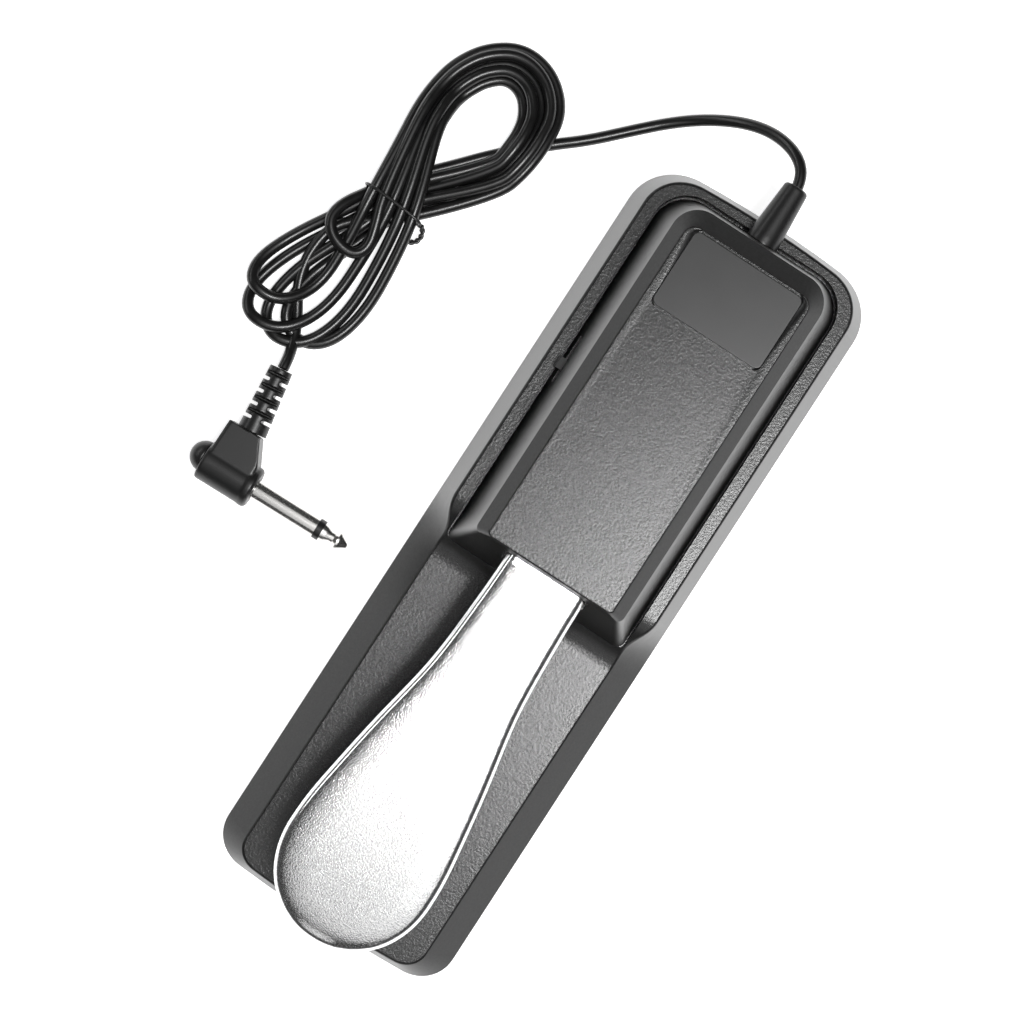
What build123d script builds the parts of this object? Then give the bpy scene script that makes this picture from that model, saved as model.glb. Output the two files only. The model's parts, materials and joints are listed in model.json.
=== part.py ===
from build123d import *
import math
import os

# Piano-style sustain pedal. Millimetres, +Z up, +Y towards the cable end, -Y towards the
# foot end of the lever. The origin is the centre of the underside, on the resting plane.

# ---- driving dimensions: base ---------------------------------------------------------
BASE_LENGTH = 245.0
BASE_WIDTH = 78.8
BASE_FOOT_Z = 1.0            # lower edge of the tray's side walls
RIM_TOP_Z = 18.5             # raised rim round the housing
FLOOR_TOP_Z = 10.0           # low floor under the lever
TRAY_WALL = 2.6
TRAY_EDGE_RADIUS = 1.0
RIM_HALF = 34.6              # outer edge of the rim's top
FLOOR_HALF = 31.2            # outer edge of the front floor
STEP_REAR_Y = 6.0            # the rim starts to run down to the floor here
STEP_FRONT_Y = -14.0         # and is level with the floor here
END_BOW = 0.8                # both ends bow outwards by this much
FAR_DRAFT = 3.8              # how far the rear end wall leans in, foot to rim
NEAR_DRAFT = 5.2             # the same for the front end wall
FAR_CORNER = 15.5
NEAR_CORNER = 11.0
RIB_SPOTS = (-30.0, -58.0, -86.0, -110.0)
RIB_THICKNESS = 1.6

GROOVE_HALF = 30.5           # opening of the tray that takes the housing
GROOVE_FRONT = -7.3
GROOVE_REAR = 115.3
GROOVE_CORNER = 11.5
LEDGE = 3.2                  # width of the ledge under the housing's edge
LEDGE_BOTTOM_Z = 10.0

MAT_THICKNESS = 2.0
MAT_GROOVE = 2.0             # width and pitch of the grooves in the mat's underside
MAT_GROOVE_PITCH = 6.0
MAT_GROOVE_DEPTH = 0.7
PLATE_THICKNESS = 1.5
PLATE_TOP_Z = MAT_THICKNESS + PLATE_THICKNESS
PLATE_INSET = 3.6
PLATE_FRONT_HALF = 34.2      # the plate narrows where the tray's walls lean in

HOUSING_SCREWS = [(-20.5, 11.0), (20.5, 11.0), (-20.5, 97.0), (20.5, 97.0)]
TRAY_SCREWS = [(-24.0, -98.0), (24.0, -98.0)]
SCREW_SPOTS = HOUSING_SCREWS + TRAY_SCREWS
SCREW_RADIUS = 1.25
SCREW_HEAD_RADIUS = 2.8
HOUSING_BOSS_RADIUS = 3.4
TRAY_BOSS_RADIUS = 4.0

# ---- driving dimensions: housing ------------------------------------------------------
HOUSING_TOP_Z = 53.0
SHOULDER_Z = 48.5            # lower edge of the sloped shoulder round the top
HOUSING_FOOT_Z = 12.6        # the housing stands on the tray's ledge
HOUSING_WALL = 2.2
HOUSING_ROOF = 2.6
HOUSING_EDGE_RADIUS = 0.6
HOUSING_FOOT_HALF = 30.15
HOUSING_FOOT_FRONT = -6.95
HOUSING_FOOT_REAR = 114.9
SHOULDER_HALF = 24.0
SHOULDER_FRONT = -0.12
SHOULDER_REAR = 108.6
TOP_HALF = 20.2
TOP_FRONT = 0.74
TOP_REAR = 102.8
LEVER_SLOT_HALF = 13.7
LEVER_SLOT_Z = (34.2, 48.3)

BADGE_WIDTH = 35.5
BADGE_LENGTH = 24.7
BADGE_Y = 90.4
BADGE_RECESS = 0.8
BADGE_THICKNESS = 0.5
BADGE_CORNER = 2.0

# ---- driving dimensions: lever and pivot ----------------------------------------------
LEVER_SHEET = 2.0
LEVER_NECK_HALF = 12.7
LEVER_TIP_HALF = 23.2
LEVER_TIP_Y = -122.1
LEVER_WIDEST_Y = -96.0
LEVER_REAR_Y = 74.0
NECK_Y = -2.2                # the plate steps up here as it leaves the housing
LEVER_NECK_Z = 47.1          # top of the part outside the housing, at the neck
LEVER_INNER_Z = 46.2         # top of the channel inside the housing
LEVER_FLANGE = 6.0
LEVER_EDGE_RADIUS = 2.8
PIVOT_Y = 62.0
PIVOT_Z = 36.0
AXLE_RADIUS = 2.5
RUNNING_CLEARANCE = 0.05
BUSH_RADIUS = 3.6
BUSH_FLANGE_RADIUS = 5.0
EAR_INSIDE = 15.2            # half the distance between the bracket's ears
EAR_THICKNESS = 2.0
LEVER_EAR_HALF = 8.0
LEVER_EAR_Z = PIVOT_Z - 5.5
BRACKET_HALF = 9.0
BRACKET_SCREWS_Y = (PIVOT_Y - 4.5, PIVOT_Y + 4.5)
CLIP_GROOVE_X = EAR_INSIDE + EAR_THICKNESS + 0.7

# ---- driving dimensions: spring, stops and switch gear ----------------------------------
SPRING_Y = 22.0
SPRING_RADIUS = 6.5          # mean radius of the coil
SPRING_WIRE = 1.6
SPRING_TURNS = 7
SPRING_SEAT_Z = 8.0
SPRING_TOP_Z = LEVER_INNER_Z - LEVER_SHEET
STOP_Y = 36.0
PILLAR_TOP_Z = 35.5
BUMPER_TOP_Z = 41.6
ACTUATOR_Y = 43.0
ACTUATOR_RADIUS = 2.0
BOARD_Z = 17.5
BOARD_THICKNESS = 1.6
BOARD_TOP_Z = BOARD_Z + BOARD_THICKNESS
STANDOFFS = [(-11.5, 49.5), (11.5, 49.5)]
SWITCH_PINS = (-5.0, 0.0, 5.0)
SWITCH_TOP_Z = BOARD_TOP_Z + 10.2
PLUNGER_TOP_Z = SWITCH_TOP_Z + 2.0
PLUNGER_RADIUS = 1.5
KNOB_Z = 21.9
KNOB_Y = 53.0
KNOB_TRAVEL = 4.0
KNOB_SLOT_Y = (47.2, 62.9)
KNOB_SLOT_Z = (19.8, 24.0)
WIRE_DIAMETER = 1.4

# ---- driving dimensions: cord and plug --------------------------------------------------
CORD_DIAMETER = 3.5
ARC_SHARE = 0.45             # part of a straight run that an arc at its end may take up
BOOT_Z = 24.0
BOOT_END_Y = 131.5
HANK_HEIGHT = 8.0
TIE_LEFT = -106.0
TIE_RIGHT = -85.6
TIE_Y = 67.2
TIE_WIDTH = 1.6
TIE_THICKNESS = 0.8
PLUG_AXIS_Z = 6.4
PLUG_ORIGIN = (-85.0, -25.9)   # where the plug's sleeve leaves its moulded body
PLUG_TURN = 1.2                # degrees, about +Z
PLUG_BARREL_BACK = -17.0
PLUG_TOP_Y = 13.8              # the boot starts here, across the plug's axis
PLUG_BOOT_X = -9.3
PLUG_BOOT_LEAN = 6.4           # degrees that the flexible boot bends away from the sleeve
BOOT_LENGTH = 20.4
FIRST_SLOT = 4.0
SLOT_PITCH = 4.1
JACK_RADIUS = 3.175
COLLAR_END = 0.3               # along the plug's axis
SLEEVE_START = 0.6
SLEEVE_END = 21.6
INSULATOR_END = 23.6

# Route of the free cord from the boot to the hank: straight out of the boot, down to the
# floor and back along the left side. Chosen by hand, one point per bend.
LEAD_ROUTE = [
    (0.0, 131.5, 24.0),
    (0.0, 139.4, 23.6),
    (-2.8, 145.6, 20.4),
    (-9.6, 149.0, 15.6),
    (-18.6, 148.3, 10.2),
    (-28.4, 143.0, 5.6),
    (-38.6, 134.4, 2.6),
    (-48.8, 124.4, 1.8),
    (-58.4, 114.0, 1.8),
    (-66.8, 107.0, 1.8),
]
TAIL_START = (-97.7, 17.6, 5.0)
TAIL_END = (-97.05, 8.3, PLUG_AXIS_Z)


# ---- helpers --------------------------------------------------------------------------
def box_between(low, high):
    """Box from its lowest corner to its highest."""
    size = [b - a for a, b in zip(low, high)]
    centre = [(a + b) / 2 for a, b in zip(low, high)]
    return Pos(*centre) * Box(*size)


def cylinder_z(x, y, low, high, radius):
    return Pos(x, y, (low + high) / 2) * Cylinder(radius, high - low)


def cylinder_x(y, z, low, high, radius):
    return Pos((low + high) / 2, y, z) * Rot(0, 90, 0) * Cylinder(radius, high - low)


def cylinder_y(x, z, low, high, radius):
    return Pos(x, (low + high) / 2, z) * Rot(90, 0, 0) * Cylinder(radius, high - low)


def corner_curve(side_point, end_point, bow_angle):
    """Corner from a side wall, running along Y, to an end wall that leans by bow_angle."""
    sx, sy = side_point
    ex, ey = end_point
    reach_y = 0.56 * (ey - sy)
    reach_x = 0.56 * (sx - ex)
    sag = abs(reach_x) * math.sin(bow_angle) * math.copysign(1.0, ey - sy)
    return Bezier((sx, sy), (sx, sy + reach_y), (ex + reach_x, ey - sag), (ex, ey))


def body_outline(z, half_rear, half_front, y_front, y_rear, r_front, r_rear,
                 step=None, bow=0.0):
    """Closed plan outline with rounded corners, bowed ends and an optional side step."""
    edges = []
    rear_chord = half_rear - r_rear
    front_chord = half_front - r_front
    rear_angle = math.atan2(2 * bow, rear_chord)
    front_angle = math.atan2(2 * bow, front_chord)
    for side in (1, -1):
        front = (side * half_front, y_front + bow + r_front)
        rear = (side * half_rear, y_rear - bow - r_rear)
        rear_corner = corner_curve(rear, (side * rear_chord, y_rear - bow), rear_angle)
        front_corner = corner_curve(front, (side * front_chord, y_front + bow), front_angle)
        if step:
            step_front = (side * half_front, step[0])
            step_rear = (side * half_rear, step[1])
            pull = 0.45 * (step[1] - step[0])
            edges += [
                Line(front, step_front),
                Bezier(step_front, (step_front[0], step[0] + pull),
                       (step_rear[0], step[1] - pull), step_rear),
                Line(step_rear, rear),
            ]
        else:
            edges.append(Line(front, rear))
        edges += [rear_corner, front_corner]
    if bow:
        edges.append(ThreePointArc((-rear_chord, y_rear - bow), (0, y_rear),
                                   (rear_chord, y_rear - bow)))
        edges.append(ThreePointArc((-front_chord, y_front + bow), (0, y_front),
                                   (front_chord, y_front + bow)))
    else:
        edges.append(Line((-rear_chord, y_rear), (rear_chord, y_rear)))
        edges.append(Line((-front_chord, y_front), (front_chord, y_front)))
    return Pos(0, 0, z) * make_face(edges)


def between(low_face, high_face):
    """Straight-sided solid between two outlines."""
    return loft([low_face, high_face], ruled=True)


def along_x(face, half):
    """Solid swept across the width from a face drawn as (Y, Z)."""
    upright = Plane(origin=(-half, 0, 0), x_dir=(0, 1, 0), z_dir=(1, 0, 0))
    return extrude(upright * face, amount=2 * half)


def save(node, shape):
    export_step(shape, f"parts/{node}.step")


# ---- base -----------------------------------------------------------------------------
def sole_outline(z):
    """Outline of the plate and mat that close the tray's underside."""
    end = BASE_LENGTH / 2 - PLATE_INSET
    return body_outline(z, BASE_WIDTH / 2 - PLATE_INSET, PLATE_FRONT_HALF, -end, end,
                        8.0, FAR_CORNER - 2.0, (STEP_FRONT_Y, STEP_REAR_Y), END_BOW)


def tray_block(inset):
    """The tray's outer form, or its hollow when inset is the wall's thickness."""
    foot_half = BASE_WIDTH / 2 - inset
    end = BASE_LENGTH / 2 - inset
    rise = RIM_TOP_Z - BASE_FOOT_Z
    floor_rise = FLOOR_TOP_Z - BASE_FOOT_Z
    # The front wall leans more: it has to be FLOOR_HALF wide at the floor's own height.
    lean_half = BASE_WIDTH / 2 - (BASE_WIDTH / 2 - FLOOR_HALF) * rise / floor_rise
    step = (STEP_FRONT_Y, STEP_REAR_Y)
    foot = body_outline(BASE_FOOT_Z, foot_half, foot_half, -end, end,
                        NEAR_CORNER - inset / 2, FAR_CORNER - inset / 2, step, END_BOW)
    rim = body_outline(RIM_TOP_Z, RIM_HALF - inset, lean_half - inset,
                       -end + NEAR_DRAFT, end - FAR_DRAFT, 3.4, 12.5 - inset / 2,
                       step, END_BOW)
    return between(foot, rim)


def above_top_surface(drop):
    """Everything over the rim, its ramp and the front floor."""
    rim = RIM_TOP_Z - drop
    floor = FLOOR_TOP_Z - drop
    pull = 0.45 * (STEP_REAR_Y - STEP_FRONT_Y)
    far = BASE_LENGTH
    edges = [
        Line((far, rim), (STEP_REAR_Y, rim)),
        Bezier((STEP_REAR_Y, rim), (STEP_REAR_Y - pull, rim),
               (STEP_FRONT_Y + pull, floor), (STEP_FRONT_Y, floor)),
        Line((STEP_FRONT_Y, floor), (-far, floor)),
        Line((-far, floor), (-far, 2 * far)),
        Line((-far, 2 * far), (far, 2 * far)),
        Line((far, 2 * far), (far, rim)),
    ]
    return along_x(make_face(edges), BASE_WIDTH)


def opening_block(inset, low, high):
    outline = body_outline(0, GROOVE_HALF - inset, GROOVE_HALF - inset,
                           GROOVE_FRONT + inset, GROOVE_REAR - inset, 3.0,
                           GROOVE_CORNER - inset)
    return Pos(0, 0, low) * extrude(outline, amount=high - low)


def rounded_tray_block():
    """The tray's outer form, its upper edges rounded."""
    tray = tray_block(0) - above_top_surface(0)
    upper_edges = [e for e in tray.edges()
                   if e.bounding_box().min.Z > FLOOR_TOP_Z - 0.1
                   and not is_across_step(e)]
    return fillet(upper_edges, TRAY_EDGE_RADIUS)


def is_across_step(edge):
    """Whether the edge runs across the base where the ramp starts or ends."""
    centre = edge.center()
    return abs(centre.X) < 1 and STEP_FRONT_Y - 1 < centre.Y < STEP_REAR_Y + 1


def base_tray():
    tray = rounded_tray_block()
    hollow = tray_block(TRAY_WALL) - above_top_surface(TRAY_WALL)
    hollow -= box_between((-BASE_WIDTH, GROOVE_FRONT - TRAY_WALL, LEDGE_BOTTOM_Z),
                          (BASE_WIDTH, BASE_LENGTH, HOUSING_TOP_Z))
    tray -= hollow
    tray -= opening_block(0, HOUSING_FOOT_Z, HOUSING_TOP_Z)
    tray -= opening_block(LEDGE, 0, HOUSING_TOP_Z)
    rib_top = FLOOR_TOP_Z - 1.0
    rib_space = tray_block(1.0) - above_top_surface(1.0)
    for y in RIB_SPOTS:
        tray += rib_space & box_between((-BASE_WIDTH, y - RIB_THICKNESS / 2, PLATE_TOP_Z),
                                        (BASE_WIDTH, y + RIB_THICKNESS / 2, rib_top))
    for x, y in TRAY_SCREWS:
        tray += cylinder_z(x, y, PLATE_TOP_Z, rib_top, TRAY_BOSS_RADIUS)
        tray -= cylinder_z(x, y, PLATE_TOP_Z - 1, rib_top - 0.2, SCREW_RADIUS)
    return tray


def bottom_plate():
    plate = extrude(sole_outline(MAT_THICKNESS), amount=PLATE_THICKNESS)
    for x, y in SCREW_SPOTS:
        plate -= cylinder_z(x, y, 0, HOUSING_FOOT_Z, SCREW_RADIUS + 0.45)
    return plate


def rubber_mat():
    """Ribbed sole. The screws' heads sit in its holes."""
    mat = extrude(sole_outline(0), amount=MAT_THICKNESS)
    for x, y in SCREW_SPOTS:
        mat -= cylinder_z(x, y, -1, MAT_THICKNESS + 1, SCREW_HEAD_RADIUS + 0.8)
    half_length = BASE_LENGTH / 2 - NEAR_CORNER - PLATE_INSET
    for groove in range(-4, 4):
        x = (groove + 0.5) * MAT_GROOVE_PITCH
        mat -= box_between((x - MAT_GROOVE / 2, -half_length, -1),
                           (x + MAT_GROOVE / 2, half_length, MAT_GROOVE_DEPTH))
    return mat


def base_screws():
    """Self-tapping screws driven from below, all alike."""
    screws = []
    for x, y in SCREW_SPOTS:
        head = cylinder_z(x, y, 0.5, MAT_THICKNESS, SCREW_HEAD_RADIUS)
        slot = cylinder_z(x, y, 0, 1.3, 1.0)
        shank = cylinder_z(x, y, MAT_THICKNESS, 8.0, SCREW_RADIUS)
        screws.append((head + shank - slot).solid())
    return Compound(screws)


# ---- housing --------------------------------------------------------------------------
def housing_block(inset, roof):
    foot = body_outline(HOUSING_FOOT_Z, HOUSING_FOOT_HALF - inset, HOUSING_FOOT_HALF - inset,
                        HOUSING_FOOT_FRONT + inset, HOUSING_FOOT_REAR - inset,
                        2.6, 11.0 - inset)
    shoulder_z = SHOULDER_Z - roof / 2
    shoulder = body_outline(shoulder_z, SHOULDER_HALF - inset, SHOULDER_HALF - inset,
                            SHOULDER_FRONT + inset, SHOULDER_REAR - inset,
                            2.0, 8.0 - inset)
    top = body_outline(HOUSING_TOP_Z - roof, TOP_HALF - inset / 2, TOP_HALF - inset / 2,
                       TOP_FRONT + inset, TOP_REAR - inset / 2, 1.5, 3.5)
    return between(foot, shoulder) + between(shoulder, top)


def top_housing():
    housing = housing_block(0, 0)
    top_edges = [e for e in housing.edges() if abs(e.center().Z - HOUSING_TOP_Z) < 0.05]
    housing = fillet(top_edges, HOUSING_EDGE_RADIUS)
    housing -= housing_block(HOUSING_WALL, HOUSING_ROOF)
    # lever opening in the front wall
    housing -= box_between((-LEVER_SLOT_HALF, HOUSING_FOOT_FRONT - 5, LEVER_SLOT_Z[0]),
                           (LEVER_SLOT_HALF, 4.5, LEVER_SLOT_Z[1]))
    # slot for the polarity switch's knob in the left wall
    housing -= box_between((-HOUSING_FOOT_HALF - 4, KNOB_SLOT_Y[0], KNOB_SLOT_Z[0]),
                           (-SHOULDER_HALF + 2, KNOB_SLOT_Y[1], KNOB_SLOT_Z[1]))
    # cable outlet in the rear wall
    housing -= cylinder_y(0, BOOT_Z, HOUSING_FOOT_REAR - 10, HOUSING_FOOT_REAR + 5, 4.5)
    within = housing_block(0.8, 0.8)
    for x, y in HOUSING_SCREWS:
        boss = cylinder_z(x, y, PLATE_TOP_Z, HOUSING_TOP_Z - 2, HOUSING_BOSS_RADIUS)
        foot = cylinder_z(x, y, PLATE_TOP_Z, HOUSING_FOOT_Z, HOUSING_BOSS_RADIUS)
        housing += boss & (within + foot)
        housing -= cylinder_z(x, y, 0, 16.0, SCREW_RADIUS)
    return housing - badge_plate(0, 2 * BADGE_RECESS, HOUSING_TOP_Z)


def badge_plate(gap, thickness, middle_z):
    plate = Box(BADGE_WIDTH - 2 * gap, BADGE_LENGTH - 2 * gap, thickness)
    plate = fillet(plate.edges().filter_by(Axis.Z), BADGE_CORNER - gap)
    return Pos(0, BADGE_Y, middle_z) * plate


def blank_badge():
    return badge_plate(0.15, BADGE_THICKNESS,
                       HOUSING_TOP_Z - BADGE_RECESS + BADGE_THICKNESS / 2)


# ---- lever and pivot --------------------------------------------------------------------
def lever_plan(inset, rear):
    """Outline of the part outside the housing: neck, waist and wide foot end."""
    neck = LEVER_NECK_HALF - inset
    wide = LEVER_TIP_HALF - inset
    side = Spline((neck, NECK_Y), (13.3 - inset, -20), (14.6 - inset, -37),
                  (18.2 - inset, -57), (21.6 - inset, -78), (wide, LEVER_WIDEST_Y),
                  tangents=[(0, -1), (0, -1)])
    long = LEVER_WIDEST_Y - LEVER_TIP_Y - inset
    rounding = [(0.872 * wide, LEVER_WIDEST_Y - 0.517 * long),
                (0.719 * wide, LEVER_WIDEST_Y - 0.719 * long),
                (0.517 * wide, LEVER_WIDEST_Y - 0.872 * long)]
    tip = Spline((wide, LEVER_WIDEST_Y), *rounding, (0, LEVER_TIP_Y + inset),
                 tangents=[(0, -1), (-1, 0)])
    edges = [side, tip, mirror(side, Plane.YZ).edge(), mirror(tip, Plane.YZ).edge()]
    if rear == NECK_Y:
        edges.append(Line((-neck, rear), (neck, rear)))
    else:
        edges += [Line((-neck, NECK_Y), (-neck, rear)), Line((-neck, rear), (neck, rear)),
                  Line((neck, rear), (neck, NECK_Y))]
    return make_face(edges)


def lever_side(drop, depth):
    """Side view of the same part as (Y, Z): it dips gently towards the foot end."""
    rear = NECK_Y + 4 if drop else NECK_Y
    top = [(rear, LEVER_NECK_Z - drop), (-32, 46.5 - drop), (-62, 44.4 - drop),
           (-92, 41.0 - drop), (-124, 34.3 - drop)]
    low = [(y, z - depth) for y, z in top]
    edges = [
        Spline(*top, tangents=[(-1, 0.0), (-1, -0.28)]),
        Line(top[-1], low[-1]),
        Spline(*reversed(low), tangents=[(1, 0.28), (1, 0.0)]),
        Line(low[0], top[0]),
    ]
    return make_face(edges)


def lever_outer_part():
    half = BASE_WIDTH / 2
    part = extrude(lever_plan(0, NECK_Y), amount=HOUSING_TOP_Z)
    part &= along_x(lever_side(0, LEVER_FLANGE), half)
    # The side view drops by about 0.075 per millimetre, so this picks the upper rim only.
    upper_rim = [e for e in part.edges() if e.geom_type == GeomType.BSPLINE
                 and e.center().Z > 45.2 + e.center().Y * 0.075]
    part = fillet(upper_rim, LEVER_EDGE_RADIUS)
    hollow = extrude(lever_plan(LEVER_SHEET, NECK_Y + 5), amount=HOUSING_TOP_Z)
    return part - (hollow & along_x(lever_side(LEVER_SHEET, 2 * LEVER_FLANGE), half))


def lever_channel():
    """Part inside the housing: a channel with two deep ears for the axle."""
    half = LEVER_NECK_HALF
    low = LEVER_INNER_Z - LEVER_FLANGE
    front = NECK_Y - 1.0
    channel = box_between((-half, front, low), (half, LEVER_REAR_Y, LEVER_INNER_Z))
    ears = box_between((-half, PIVOT_Y - LEVER_EAR_HALF, LEVER_EAR_Z),
                       (half, PIVOT_Y + LEVER_EAR_HALF, low))
    long_edges = [e for e in channel.edges().filter_by(Axis.Y)
                  if e.center().Z > LEVER_INNER_Z - 0.1]
    channel = fillet(long_edges, LEVER_EDGE_RADIUS) + ears
    inside = half - LEVER_SHEET
    return channel - box_between((-inside, front - 1, 0),
                                 (inside, LEVER_REAR_Y + 1, LEVER_INNER_Z - LEVER_SHEET))


def pedal_lever():
    lever = lever_outer_part() + lever_channel()
    lever -= cylinder_x(PIVOT_Y, PIVOT_Z, -EAR_INSIDE, EAR_INSIDE, BUSH_RADIUS)
    lever -= cylinder_z(0, ACTUATOR_Y, PIVOT_Z, HOUSING_TOP_Z, ACTUATOR_RADIUS)
    return lever


def lever_bushes():
    """Plain flanged bushes pressed into the lever's two ears."""
    outer_face = EAR_INSIDE - 0.3
    bushes = []
    for side in (1, -1):
        low, high = sorted((side * (LEVER_NECK_HALF - LEVER_SHEET), side * outer_face))
        flange_low, flange_high = sorted((side * LEVER_NECK_HALF, side * outer_face))
        bush = cylinder_x(PIVOT_Y, PIVOT_Z, low, high, BUSH_RADIUS)
        bush += cylinder_x(PIVOT_Y, PIVOT_Z, flange_low, flange_high, BUSH_FLANGE_RADIUS)
        bush -= cylinder_x(PIVOT_Y, PIVOT_Z, -EAR_INSIDE, EAR_INSIDE,
                           AXLE_RADIUS + RUNNING_CLEARANCE)
        bushes.append(bush.solid())
    return Compound(bushes)


def pivot_axle():
    reach = CLIP_GROOVE_X + 1.7
    axle = cylinder_x(PIVOT_Y, PIVOT_Z, -reach, reach, AXLE_RADIUS)
    for side in (1, -1):
        groove = side * CLIP_GROOVE_X
        ring = cylinder_x(PIVOT_Y, PIVOT_Z, groove - 0.4, groove + 0.4, AXLE_RADIUS + 1)
        ring -= cylinder_x(PIVOT_Y, PIVOT_Z, groove - 0.4, groove + 0.4, AXLE_RADIUS - 0.5)
        axle -= ring
    return axle


def axle_clips():
    """Snap rings in the axle's end grooves, open at the bottom."""
    clips = []
    for side in (1, -1):
        at = side * CLIP_GROOVE_X
        clip = cylinder_x(PIVOT_Y, PIVOT_Z, at - 0.35, at + 0.35, 4.8)
        clip -= cylinder_x(PIVOT_Y, PIVOT_Z, at - 1, at + 1, AXLE_RADIUS - 0.45)
        clip -= box_between((at - 1, PIVOT_Y - 1.6, PIVOT_Z - 6),
                            (at + 1, PIVOT_Y + 1.6, PIVOT_Z))
        clips.append(clip.solid())
    return Compound(clips)


def pivot_bracket():
    """U-shaped stamping: a foot on the bottom plate and two ears that hold the axle."""
    half = EAR_INSIDE + EAR_THICKNESS
    ear_half = 6.0
    front, rear = PIVOT_Y - BRACKET_HALF, PIVOT_Y + BRACKET_HALF
    bracket = box_between((-half, front, PLATE_TOP_Z),
                          (half, rear, PLATE_TOP_Z + EAR_THICKNESS))
    for side in (1, -1):
        low, high = sorted((side * EAR_INSIDE, side * half))
        bracket += box_between((low, front, PLATE_TOP_Z), (high, rear, PIVOT_Z - 12))
        bracket += box_between((low, PIVOT_Y - ear_half, PLATE_TOP_Z),
                               (high, PIVOT_Y + ear_half, PIVOT_Z))
        bracket += cylinder_x(PIVOT_Y, PIVOT_Z, low, high, ear_half)
    bracket -= cylinder_x(PIVOT_Y, PIVOT_Z, -half, half, AXLE_RADIUS + 0.02)
    for y in BRACKET_SCREWS_Y:
        bracket -= cylinder_z(0, y, 0, HOUSING_FOOT_Z, 1.6)
    return bracket


def bracket_screws():
    screws = []
    for y in BRACKET_SCREWS_Y:
        low = PLATE_TOP_Z + EAR_THICKNESS
        screw = cylinder_z(0, y, low, low + 1.8, 2.8) + cylinder_z(0, y, PLATE_TOP_Z, low, 1.5)
        screw -= box_between((-2.2, y - 0.4, low + 1.0), (2.2, y + 0.4, low + 3))
        screws.append(screw.solid())
    return Compound(screws)


# ---- spring and stops --------------------------------------------------------------------
def spring_seat():
    seat = cylinder_z(0, SPRING_Y, PLATE_TOP_Z, SPRING_SEAT_Z, 10.0)
    seat += cylinder_z(0, SPRING_Y, SPRING_SEAT_Z, SPRING_SEAT_Z + 9, SPRING_RADIUS - 1.6)
    return seat


def return_spring():
    low = SPRING_SEAT_Z + SPRING_WIRE / 2 + 0.05
    high = SPRING_TOP_Z - SPRING_WIRE / 2 - 0.05
    height = high - low
    path = Helix(pitch=height / SPRING_TURNS, height=height, radius=SPRING_RADIUS)
    section = Plane(origin=path @ 0, z_dir=path % 0) * Circle(SPRING_WIRE / 2)
    coil = sweep(section, path=path, is_frenet=True)
    return Pos(0, SPRING_Y, low) * coil


def upper_stop_pad():
    """Felt strip under the roof, which the lever comes up against."""
    return box_between((-10, 4.8, LEVER_INNER_Z + 0.2),
                       (10, 13, HOUSING_TOP_Z - HOUSING_ROOF))


def lower_stop_bumper():
    """Rubber block on a moulded pillar, which stops the pressed lever."""
    return box_between((-6, STOP_Y - 3, PILLAR_TOP_Z), (6, STOP_Y + 3, BUMPER_TOP_Z))


def stop_pillar():
    return box_between((-7, STOP_Y - 3.5, PLATE_TOP_Z), (7, STOP_Y + 3.5, PILLAR_TOP_Z))


# ---- switch gear ---------------------------------------------------------------------------
def circuit_board():
    board = box_between((-14.5, 40.4, BOARD_Z), (14.5, 52.2, BOARD_TOP_Z))
    board += box_between((-26.5, 46.6, BOARD_Z), (-14.5, 63.4, BOARD_TOP_Z))
    board -= box_between((-18.5, 52.2, BOARD_Z - 1), (-14.4, 64, BOARD_TOP_Z + 1))
    for x, y in STANDOFFS:
        board -= cylinder_z(x, y, BOARD_Z - 1, BOARD_TOP_Z + 1, 1.1)
    for x in SWITCH_PINS:
        board -= cylinder_z(x, ACTUATOR_Y, BOARD_Z - 1, BOARD_TOP_Z + 1, 0.6)
    return board


def board_standoffs():
    posts = []
    for x, y in STANDOFFS:
        post = cylinder_z(x, y, PLATE_TOP_Z, BOARD_Z, 2.4)
        post -= cylinder_z(x, y, BOARD_Z - 5, BOARD_Z, 1.0)
        posts.append(post.solid())
    return Compound(posts)


def board_screws():
    screws = []
    for x, y in STANDOFFS:
        screw = cylinder_z(x, y, BOARD_TOP_Z, BOARD_TOP_Z + 1.4, 2.0)
        screw += cylinder_z(x, y, BOARD_Z - 4, BOARD_TOP_Z, 0.95)
        screws.append(screw.solid())
    return Compound(screws)


def snap_switch():
    body = box_between((-7.5, ACTUATOR_Y - 2.6, BOARD_TOP_Z),
                       (7.5, ACTUATOR_Y + 2.6, SWITCH_TOP_Z))
    body -= cylinder_z(0, ACTUATOR_Y, SWITCH_TOP_Z - 6, SWITCH_TOP_Z + 1,
                       PLUNGER_RADIUS + RUNNING_CLEARANCE)
    for x in SWITCH_PINS:
        body += box_between((x - 0.4, ACTUATOR_Y - 0.25, BOARD_Z - 2.5),
                            (x + 0.4, ACTUATOR_Y + 0.25, BOARD_TOP_Z))
    return body


def switch_plunger():
    return cylinder_z(0, ACTUATOR_Y, SWITCH_TOP_Z - 3.8, PLUNGER_TOP_Z, PLUNGER_RADIUS)


def actuator_screw():
    """Adjusting screw through the lever that presses the switch."""
    low = PLUNGER_TOP_Z + 0.2
    top = LEVER_INNER_Z
    screw = cylinder_z(0, ACTUATOR_Y, low, top + 0.01, ACTUATOR_RADIUS - RUNNING_CLEARANCE)
    screw += cylinder_z(0, ACTUATOR_Y, top, top + 1.8, 3.2)
    screw -= box_between((-4, ACTUATOR_Y - 0.5, top + 0.9), (4, ACTUATOR_Y + 0.5, top + 3))
    return screw


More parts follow.
